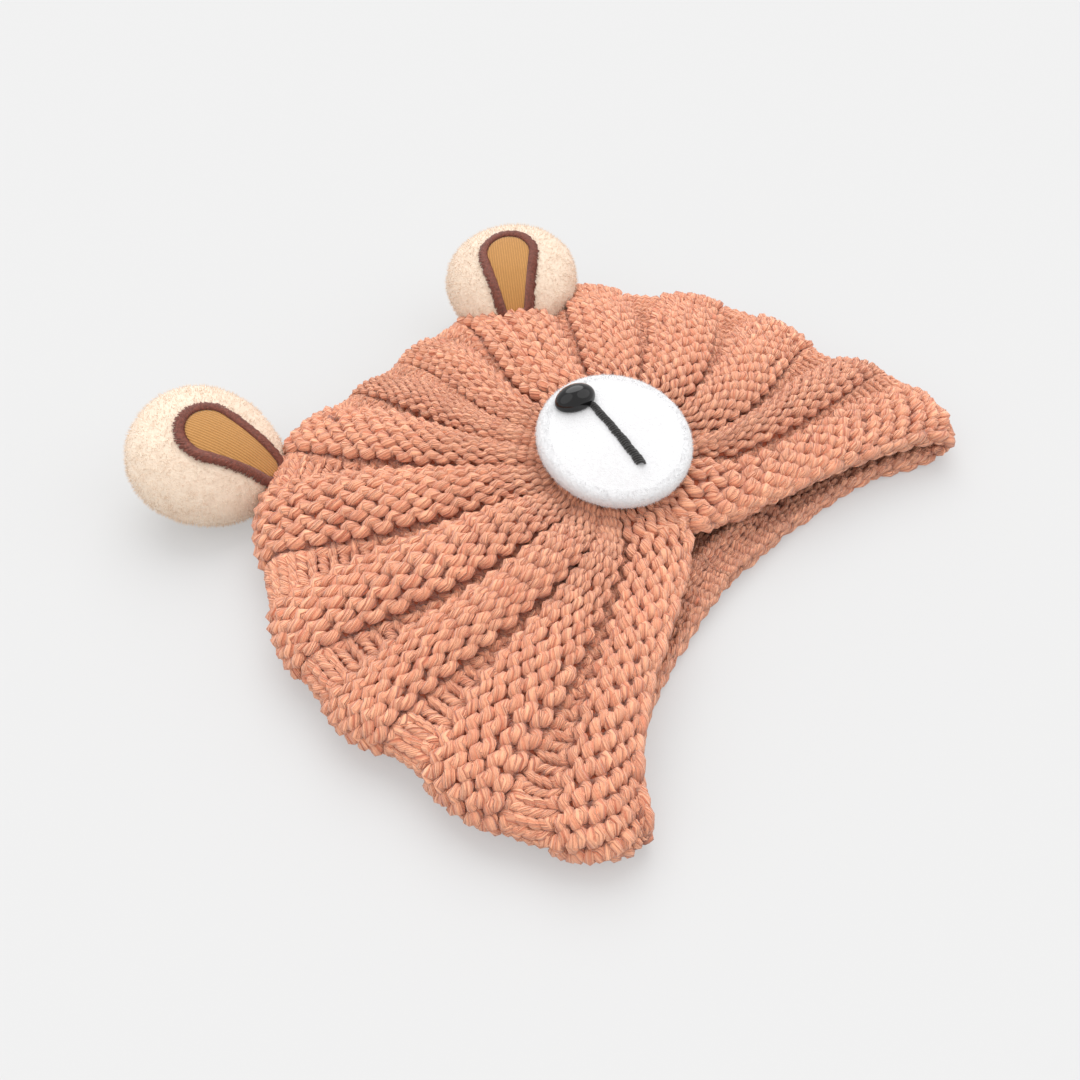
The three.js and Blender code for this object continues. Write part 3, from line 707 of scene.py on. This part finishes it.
class HAT_OT_ground(bpy.types.Operator):
    """Lays the fabric's ground behind the stitches: one thin ribbed sheet, coloured as painted shade"""
    bl_idname = "hat.ground"
    bl_label = "Lay the fabric's ground"

    def execute(self, context):
        rows, steps = RIBS * COURSES, 90
        bm = bmesh.new()
        bmesh.ops.create_grid(bm, x_segments=rows, y_segments=steps, size=0.5)
        bm.verts.ensure_lookup_table()
        flat = np.array([v.co[:2] for v in bm.verts]) + 0.5
        u = GROUND["start"] + (4 - GROUND["start"]) * flat[:, 1]
        laid = (ribbed(u, flat[:, 0] * rows, depth=WALL * GROUND["depth"]) + HAT_SHIFT) * MM
        laid[:, 2] = np.maximum(laid[:, 2], GROUND["lowest"])
        for vert, place in zip(bm.verts, laid):
            vert.co = place
        bmesh.ops.remove_doubles(bm, verts=bm.verts, dist=1e-5)
        mesh = mesh_from(bm, "knit_shade_sheet")
        finish = Finish("shaded ground", Roughness=1.0, Specular_IOR_Level=0.1)
        fibres = finish.noise(finish.place(), 900.0, 3.0)
        # painted shade: two dark reds that stand for the shade down between the stitches, varied by fibres
        shade = finish.mix(fibres, linear(146, 76, 54), linear(178, 100, 74))
        piece = new_piece("knit_shade_sheet", mesh, finish.dress(shade, fibres, 0.0005))
        wall = piece.modifiers.new("thickness", "SOLIDIFY")
        wall.thickness, wall.offset = GROUND["thick"], 0.0
        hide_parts(*CAP_NODES)
        return {"FINISHED"}


# ---- The stuffed ears ----
EAR_SKIN = 0.97  # size of an ear's skin before it is stuffed
SWELL = 0.0012  # how far the stuffing may push it out, m
PANEL = 0.004  # size of its faces while it is stuffed, m
EAR_PILE = {"length": 0.0012, "width": 0.00013, "lean": (-0.3, -0.2, -0.5)}
MUZZLE_PILE = {"length": 0.0006, "width": 0.0001, "lean": (0, 0, 0)}
ROOTED = 0.0004  # how deep a tuft starts under the skin, m


def ear_place(side):
    """From an ear's own frame to the hat's."""
    ear = EARS[side]
    angles = [math.radians(a) for a in (ear["raised"], ear["roll"], ear["points"] - 90)]
    turn = Euler(angles, "XYZ").to_matrix().to_4x4()
    return Matrix.Translation((Vector(ear["at"]) + Vector(HAT_SHIFT)) * MM) @ turn


def stuffed(piece, pressure, cap):
    """Fills a closed skin with stuffing: it swells under pressure, by no more than cap."""
    start = np.array([v.co for v in piece.data.vertices])
    cloth = piece.modifiers.new("stuffing", "CLOTH")
    cloth.settings.use_pressure = True
    cloth.settings.uniform_pressure_force = pressure
    cloth.settings.effector_weights.gravity = 0
    scene = bpy.context.scene
    for number in range(1, 21):
        scene.frame_set(number)
    swollen = np.array([v.co for v in solid_of(piece).vertices])
    piece.modifiers.remove(cloth)
    scene.frame_set(1)
    move = swollen - start
    size = np.linalg.norm(move, axis=1, keepdims=True)
    held = start + move * np.minimum(1, cap / np.maximum(size, 1e-9))
    piece.data.vertices.foreach_set("co", held.ravel())


def ear_shape():
    """An ear's skin in its own frame: +Y away from the cap, +Z the front."""
    bm = bmesh.new()
    bmesh.ops.create_icosphere(bm, subdivisions=5, radius=1.0)
    for vert in bm.verts:
        x, y, z = vert.co
        full = 1 + EAR["narrow"] * y
        vert.co = Vector((x * EAR["width"] * full, y * EAR["length"], z * EAR["depth"] * full))
        vert.co *= MM * EAR_SKIN
    return bm


def skin_of(piece, place):
    """Feels for an ear's front from straight above it, in its own frame."""
    bm = bmesh.new()
    bm.from_mesh(piece.data)
    bmesh.ops.transform(bm, matrix=place.inverted(), verts=bm.verts)
    tree = BVHTree.FromBMesh(bm)
    bm.free()

    def height(x, y):
        hit, _, _, _ = tree.ray_cast(Vector((x, y, 0.1)), Vector((0, 0, -1)))
        return hit.z if hit else 0.0

    def over(x, y, lift):
        """The point as far as lift above the skin over x, y, all in millimetres."""
        x, y, step = x * MM, y * MM, 0.0008
        run = [height(x + step, y) - height(x - step, y), height(x, y + step) - height(x, y - step)]
        out = Vector((-run[0], -run[1], 2 * step)).normalized()
        return Vector((x, y, height(x, y))) + out * lift * MM

    return over


def patch_outline(margin, count):
    """Points round the patch, grown by margin: its two round ends and straight sides."""
    lean = math.asin((PATCH["wide"] - PATCH["small"]) / (PATCH["wide_at"] - PATCH["small_at"]))
    dense = []
    for radius, centre, first, last in (
            (PATCH["wide"], PATCH["wide_at"], -lean, math.pi + lean),
            (PATCH["small"], PATCH["small_at"], math.pi + lean, 2 * math.pi - lean)):
        angle = np.linspace(first, last, 60)
        dense.append((0, centre) + (radius + margin) * np.stack([np.cos(angle), np.sin(angle)], 1))
    dense = np.concatenate([*dense, dense[0][:1]])
    run = run_along(dense)
    at = np.linspace(0, run[-1], count, endpoint=False)
    return np.stack([np.interp(at, run, dense[:, 0]), np.interp(at, run, dense[:, 1])], 1)


def tufts_on(name, mesh, count, seed, finish, slot, keep, length, width, lean):
    """Short pile standing on a mesh: many small spikes that lean over, where keep says so."""
    chance = np.random.default_rng(seed)
    mesh.calc_loop_triangles()
    corners = np.array([t.vertices for t in mesh.loop_triangles])
    places = np.array([v.co for v in mesh.vertices])
    normals = np.array([v.normal for v in mesh.vertices])
    a, b, c = (places[corners[:, k]] for k in range(3))
    area = np.linalg.norm(np.cross(b - a, c - a), axis=1)
    pick = chance.choice(len(corners), count, p=area / area.sum())
    w = chance.dirichlet((1, 1, 1), count)[..., None]
    root = (places[corners[pick]] * w).sum(1)
    out = unit((normals[corners[pick]] * w).sum(1))
    tall = length * chance.uniform(0.6, 1.25, count)
    swing = chance.normal(0, 1, (count, 3))
    good = keep(root, out)
    root, out, tall, swing = root[good], out[good], tall[good], swing[good]
    side = unit(np.cross(out, swing))
    other = np.cross(out, side)
    tip = root + unit(out + np.array(lean) + 0.45 * swing) * tall[:, None]
    base = root - out * ROOTED
    points = np.stack([base + width * side, base + width * (-0.5 * side + 0.87 * other),
                       base + width * (-0.5 * side - 0.87 * other), tip], 1).reshape(-1, 3)
    points[:, 2] = np.maximum(points[:, 2], 0.0)
    sides = np.array([[0, 2, 1], [0, 1, 3], [1, 2, 3], [2, 0, 3]])
    faces = (np.arange(len(root))[:, None, None] * 4 + sides).reshape(-1, 3)
    pile = bpy.data.meshes.new(name)
    pile.from_pydata(points.tolist(), [], faces.tolist())
    return new_piece(name, pile, finish, smooth_faces=False)


class HAT_OT_ears(bpy.types.Operator):
    """Makes the two stuffed plush ears"""
    bl_idname = "hat.ears"
    bl_label = "Stuff the ears"

    def execute(self, context):
        size = settings("ears")
        finish = plush_finish("cream plush", size.plush, size.plush_shade)
        for seed, side in enumerate(EARS):
            name = f"ear_{side}_plush"
            bm = ear_shape()
            bmesh.ops.transform(bm, matrix=ear_place(side), verts=bm.verts)
            piece = new_piece(name + "_skin", mesh_from(bm, name), finish)
            remesh = piece.modifiers.new("panels", "REMESH")
            remesh.mode, remesh.voxel_size = "VOXEL", PANEL
            apply_modifiers(piece)
            stuffed(piece, size.stuffing, SWELL)
            soft = piece.modifiers.new("soft", "SUBSURF")
            soft.levels = soft.render_levels = 2
            apply_modifiers(piece)
            piece.data.shade_smooth()
            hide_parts(name)
            tufts_on(f"ear_{side}_pile", piece.data, size.pile, seed + 40, finish, "cream_plush",
                     clear_of_patch(side), **EAR_PILE)
        return {"FINISHED"}


def clear_of_patch(side):
    """Says which tufts stand clear of the patch."""
    back = np.array(ear_place(side).inverted())

    def keep(root, out):
        local = (root @ back[:3, :3].T + back[:3, 3]) / MM
        reach = PATCH["wide_at"] - PATCH["small_at"]
        near = np.clip((PATCH["wide_at"] - local[:, 1]) / reach, 0, 1)
        centre = PATCH["wide_at"] - reach * near
        room = PATCH["wide"] + (PATCH["small"] - PATCH["wide"]) * near + PATCH["border"] - 0.3
        off = np.hypot(local[:, 0], local[:, 1] - centre)
        return ~((local[:, 2] > 0) & (off < room))

    return keep


CORD = 0.85  # width of a rib of the felt, mm
SATIN_STITCHES, SATIN_THREAD = 230, 0.24  # threads round a border, and half a thread's thickness


class HAT_OT_patches(bpy.types.Operator):
    """Sews a ribbed felt patch with a satin-stitched border on each ear"""
    bl_idname = "hat.patches"
    bl_label = "Sew on the patches"

    def execute(self, context):
        size = settings("ears")
        felt = Finish("ochre felt", Roughness=0.85, Specular_IOR_Level=0.25, Sheen_Weight=0.2)
        across, _ = felt.parts(felt.map("weave"))
        fibres = felt.noise(felt.place(), 1800.0, 3.0)
        cords = ((across / CORD).fraction() - 0.5).size() * 2
        # partly painted shade: the grooves between the cords take the darker felt colour, mixed with the
        # fibres' own uneven tone
        ribs = felt.spread(cords * 0.5 + fibres * 0.5, 0.2, 0.75)
        felt.dress(felt.mix(ribs, size.felt, darker(size.felt, 0.72)), 1 - cords * 0.7 + fibres * 0.4, 0.0003)
        thread = Finish("brown thread", Roughness=0.55, Specular_IOR_Level=0.4, Sheen_Weight=0.15)
        strands = thread.noise(thread.place(), 1400.0, 2.0)
        lit = thread.spread(strands, 0.35, 0.65)
        thread.dress(thread.mix(lit, darker(size.thread, 0.6), size.thread), strands, 0.0002)
        for side in EARS:
            place = ear_place(side)
            over = skin_of(bpy.data.objects[f"ear_{side}_plush_skin"], place)
            self.patch(side, place, over, felt.material)
            self.border(side, place, over, thread.material)
        return {"FINISHED"}

    def patch(self, side, place, over, finish):
        """A thin padded patch that follows the ear, a little crowned."""
        outline, rings = patch_outline(0.4, 60), 9
        middle = np.array([0.0, (PATCH["wide_at"] + PATCH["small_at"]) / 2])
        bm = bmesh.new()
        hub = bm.verts.new(Vector((*middle, 0)))
        rim = [bm.verts.new(Vector((*(middle + (p - middle) / rings), 0))) for p in outline]
        pairs = [*zip(rim, rim[1:] + rim[:1])]
        edges = [bm.edges.new(pair) for pair in pairs]
        for pair in pairs:
            bm.faces.new((hub, *pair))
        for ring in range(2, rings + 1):
            grown = bmesh.ops.extrude_edge_only(bm, edges=edges)["geom"]
            fresh = [e for e in grown if isinstance(e, bmesh.types.BMVert)]
            edges = [e for e in grown
                     if isinstance(e, bmesh.types.BMEdge) and all(v in fresh for v in e.verts)]
            for vert in fresh:
                spot = np.array(vert.co[:2])
                vert.co = Vector((*(middle + (spot - middle) * ring / (ring - 1)), 0))
        weave = bm.loops.layers.uv.new("weave")
        for face in bm.faces:
            for corner in face.loops:
                corner[weave].uv = corner.vert.co.xy
        for vert in bm.verts:
            x, y = vert.co.xy
            outwards = min(1.0, np.hypot(x - middle[0], y - middle[1]) / 10)
            vert.co = over(x, y, 1.0 - 0.35 * outwards)
        bmesh.ops.transform(bm, matrix=place, verts=bm.verts)
        bmesh.ops.recalc_face_normals(bm, faces=bm.faces)
        if bm.faces[0].normal.dot(place.to_3x3() @ Vector((0, 0, 1))) < 0:
            bmesh.ops.reverse_faces(bm, faces=bm.faces)
        mesh = mesh_from(bm, f"ear_{side}_inner", closed=False)
        piece = new_piece(f"ear_{side}_felt", mesh, finish)
        wall = piece.modifiers.new("thickness", "SOLIDIFY")
        wall.thickness, wall.offset = 0.0014, -1.0
        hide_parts(f"ear_{side}_inner")

    def border(self, side, place, over, finish):
        """Satin stitch: threads laid side by side across the border, ragged on the outside."""
        chance = np.random.default_rng(7 + len(side))
        inner, outer = patch_outline(-0.2, SATIN_STITCHES), patch_outline(PATCH["border"], SATIN_STITCHES)
        paths, radii = [], []
        for p, q in zip(inner, outer):
            ragged = q + (q - p) / PATCH["border"] * chance.uniform(-0.25, 0.45)
            line = []
            for share in np.linspace(0, 1, 7):
                x, y = p + (ragged - p) * share
                height = 0.15 + 1.35 * math.sin(math.pi * (0.08 + 0.86 * share)) ** 0.6
                line.append(place @ over(x, y, height))
            paths.append(np.array(line) / MM)
            radii.append(np.full(len(line), SATIN_THREAD) * chance.uniform(0.85, 1.15))
        mesh = yarn_mesh(f"ear_{side}_border", paths, radii, 0)
        piece = new_piece(f"ear_{side}_satin", mesh, finish)
        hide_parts(f"ear_{side}_border")


# ---- The muzzle ----
BULGE = 2.4  # how far the padding bulges into the gather below
SUNK = 0.15  # how far the plush lies under the disc's top, inside its rim
RIM = 0.0205  # distance from the muzzle's middle beyond which tufts stand, m


def disc_place():
    """From the muzzle's own frame, with Z out of it, to the hat's."""
    at = Vector((DISC["x"], DISC["y"], DISC["top"] + DISC["x"] * SLOPE[0] + DISC["y"] * SLOPE[1]))
    return Matrix.Translation((at + Vector(HAT_SHIFT)) * MM) @ turned_to(DISC_NORMAL)


def disc_top(r):
    """The crowned top's height at a distance from its middle."""
    return -DISC["crown"] * min(1.0, r / (DISC["radius"] - DISC["edge"] / 2)) ** 2


class HAT_OT_muzzle(bpy.types.Operator):
    """Makes the padded round muzzle"""
    bl_idname = "hat.muzzle"
    bl_label = "Pad the muzzle"

    def execute(self, context):
        size = settings("muzzle")
        finish = plush_finish("white plush", size.plush, size.shade, 900.0)
        edge, flat = DISC["edge"] / 2, DISC["radius"] - DISC["edge"] / 2 - 0.4
        bottom = -DISC["crown"] - DISC["edge"]
        profile = [(flat * s, bottom - BULGE * (1 - s ** 6)) for s in (0.0, 0.3, 0.6, 0.75, 0.85, 0.92, 0.97)]
        profile += [(flat + edge * math.cos(a), bottom + edge + edge * math.sin(a))
                    for a in np.linspace(-math.pi / 2, math.pi / 2, 11)]
        profile += [(flat * s, disc_top(flat * s) - SUNK)
                    for s in (0.93, 0.85, 0.75, 0.62, 0.5, 0.37, 0.25, 0.12, 0.0)]
        bm = spun(profile, MM, 96)
        bmesh.ops.transform(bm, matrix=disc_place(), verts=bm.verts)
        piece = new_piece("muzzle_plush", mesh_from(bm, "muzzle_plush"), finish)
        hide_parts("muzzle_disc")
        out = np.array(DISC_NORMAL)
        middle = np.array(disc_place().translation)

        def rim(root, normal):
            off = root - middle
            off = off - np.outer(off @ out, out)
            return (np.linalg.norm(off, axis=1) > RIM) & (normal @ out > -0.6)

        tufts_on("muzzle_pile", piece.data, size.pile, 3, finish, "white_plush", rim, **MUZZLE_PILE)
        return {"FINISHED"}


class HAT_OT_nose(bpy.types.Operator):
    """Makes the glossy button nose"""
    bl_idname = "hat.nose"
    bl_label = "Fix the nose"

    def execute(self, context):
        profile = [(0.0, 0.0), (0.9, 0.0), (0.97, 0.04), (1.0, 0.13)]
        angles = np.linspace(0.05, math.pi / 2 - 0.12, 11)
        profile += [(math.cos(a), 0.16 + 0.84 * math.sin(a)) for a in angles]
        profile += [(0.0, 1.0)]
        bm = spun(profile, 1, 56)
        reach = math.hypot(NOSE["x"], NOSE["y"])
        lean = (disc_top(reach - 1) - disc_top(reach + 1)) / 2
        out = Vector((NOSE["x"] / reach * lean, NOSE["y"] / reach * lean, 1)).normalized()
        place = disc_place() @ Matrix.Translation(Vector((NOSE["x"], NOSE["y"], disc_top(reach) - 0.1)) * MM)
        place = place @ turned_to(out) @ Matrix.Rotation(math.radians(NOSE["spin"]), 4, "Z")
        grow = (NOSE["width"] / 2 * MM, NOSE["height"] / 2 * MM, (NOSE["dome"] + 0.4) * MM, 1)
        bmesh.ops.transform(bm, matrix=place @ Matrix.Diagonal(grow), verts=bm.verts)
        finish = Finish("black button", Specular_IOR_Level=0.3, Coat_Weight=0.25, Coat_Roughness=0.03)
        worn = finish.noise(finish.place(), 260.0, 3.0)
        finish.set("Base Color", finish.mix(worn, linear(8, 8, 9), linear(18, 17, 18)))
        finish.set("Roughness", finish.spread(worn, 0.2, 1.0) * 0.1 + 0.06)
        piece = new_piece("nose_button", mesh_from(bm, "nose_button"), finish.material)
        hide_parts("nose")
        return {"FINISHED"}


MOUTH_START = (0.3, 1.2)  # from the node's end to the first stitch, under the nose
MOUTH_STITCHES, MOUTH_THREAD = 34, 0.4  # their number, and half the thread's thickness


class HAT_OT_mouth(bpy.types.Operator):
    """Stitches the mouth line with thick black thread"""
    bl_idname = "hat.mouth"
    bl_label = "Stitch the mouth"

    def execute(self, context):
        finish = Finish("black thread", Roughness=0.7, Specular_IOR_Level=0.3, Sheen_Weight=0.3)
        strands = finish.noise(finish.place(), 1500.0, 2.0)
        finish.dress(finish.mix(strands, linear(16, 15, 15), linear(48, 45, 44)), strands, 0.0002)
        chance = np.random.default_rng(11)
        start, end = np.array(MOUTH["from"]) + MOUTH_START, np.array(MOUTH["to"])
        step = unit((end - start)[None])[0]
        side = np.array([-step[1], step[0]])
        place = disc_place()
        paths, radii = [], []
        for share in np.linspace(0, 1, MOUTH_STITCHES):
            middle = start + (end - start) * share + side * 0.08 * math.sin(share * 23)
            slant = step * chance.uniform(0.3, 0.7)
            half = MOUTH["width"] / 2 * chance.uniform(0.85, 1.08) * (0.75 + 0.4 * share)
            line = []
            for s in np.linspace(-1, 1, 7):
                x, y = middle + side * s * half + slant * s
                z = disc_top(math.hypot(x, y)) + MOUTH["thick"] * 0.78 * (1 - abs(s) ** 2.4) - 0.05
                line.append(place @ (Vector((x, y, z)) * MM))
            paths.append(np.array(line) / MM)
            radii.append(np.full(len(line), MOUTH_THREAD) * chance.uniform(0.85, 1.15))
        mesh = yarn_mesh("mouth_stitches", paths, radii, 1)
        piece = new_piece("mouth_stitches", mesh, finish.material)
        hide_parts("mouth_line")
        return {"FINISHED"}


# ---- The studio ----
CAMERA = {"at": (-205.993, -142.742, 255.659), "ahead": (0.524729, 0.435639, -0.731354), "lens": 36.667}


class HAT_OT_studio(bpy.types.Operator):
    """Sets up the pale floor, the soft lights and the camera"""
    bl_idname = "hat.studio"
    bl_label = "Set up the studio"

    def execute(self, context):
        studio = settings("studio")
        scene = bpy.context.scene
        bm = bmesh.new()
        bmesh.ops.create_grid(bm, x_segments=1, y_segments=1, size=6)
        mesh = mesh_from(bm, "floor", closed=False)
        floor = linked("floor", mesh)
        finish = Finish("floor", Base_Color=studio.floor, Roughness=0.9, Specular_IOR_Level=0.0,
                        Emission_Color=(1.0, 1.0, 1.0, 1.0), Emission_Strength=studio.glow)
        mesh.materials.append(finish.material)
        world = bpy.data.worlds.new("studio")
        world.use_nodes = True
        sky = world.node_tree.nodes["Background"]
        sky.inputs["Color"].default_value = (1, 1, 1, 1)
        sky.inputs["Strength"].default_value = studio.fill
        scene.world = world
        self.light("key", (0.55, 0.5, 1.15), 60, studio.key)
        self.light("window", (-0.9, 0.1, 0.9), 70, studio.key * 0.34)
        self.light("front", (0.6, -0.9, 0.9), 60, studio.key * 0.3)
        scene.view_settings.view_transform = "Standard"
        self.camera(scene)
        return {"FINISHED"}

    def light(self, name, towards, spread, strength):
        """A soft light from far away, in the direction towards, as wide as spread degrees."""
        lamp = bpy.data.lights.new(name, "SUN")
        lamp.energy, lamp.angle = strength, math.radians(spread)
        holder = linked(name, lamp)
        holder.rotation_euler = (-Vector(towards)).to_track_quat("-Z", "Y").to_euler()

    def camera(self, scene):
        lens = bpy.data.cameras.new("camera")
        lens.lens, lens.sensor_width = CAMERA["lens"], 36.0
        lens.clip_start, lens.clip_end = 0.01, 50
        camera = linked("camera", lens)
        camera.location = (Vector(CAMERA["at"]) + Vector(HAT_SHIFT)) * MM
        camera.rotation_euler = Vector(CAMERA["ahead"]).to_track_quat("-Z", "Y").to_euler()
        scene.camera = camera


class HAT_PT_panel(bpy.types.Panel):
    """Lists the steps that make the hat"""
    bl_idname = "HAT_PT_panel"
    bl_label = "Turban hat"
    bl_space_type = "VIEW_3D"
    bl_region_type = "UI"
    bl_category = "Turban hat"

    def draw(self, context):
        for group in GROUPS:
            box = self.layout.box()
            for name in GROUPS[group].__annotations__:
                box.prop(settings(group), name)
        for step in STEPS:
            self.layout.operator(step.bl_idname)


GROUPS = {"knit": KnitSettings, "ears": EarSettings, "muzzle": MuzzleSettings, "studio": StudioSettings}
STEPS = (HAT_OT_knit, HAT_OT_brim, HAT_OT_ground, HAT_OT_ears, HAT_OT_patches, HAT_OT_muzzle, HAT_OT_nose,
         HAT_OT_mouth, HAT_OT_studio)


def register():
    for group, kind in GROUPS.items():
        bpy.utils.register_class(kind)
        setattr(bpy.types.Scene, "hat_" + group, PointerProperty(type=kind))
    for kind in (*STEPS, HAT_PT_panel):
        bpy.utils.register_class(kind)


def unregister():
    for kind in (HAT_PT_panel, *reversed(STEPS)):
        bpy.utils.unregister_class(kind)
    for group, kind in GROUPS.items():
        delattr(bpy.types.Scene, "hat_" + group)
        bpy.utils.unregister_class(kind)


def main():
    register()
    for step in STEPS:
        getattr(bpy.ops.hat, step.bl_idname.split(".")[1])()


if __name__ == "__main__":
    main()
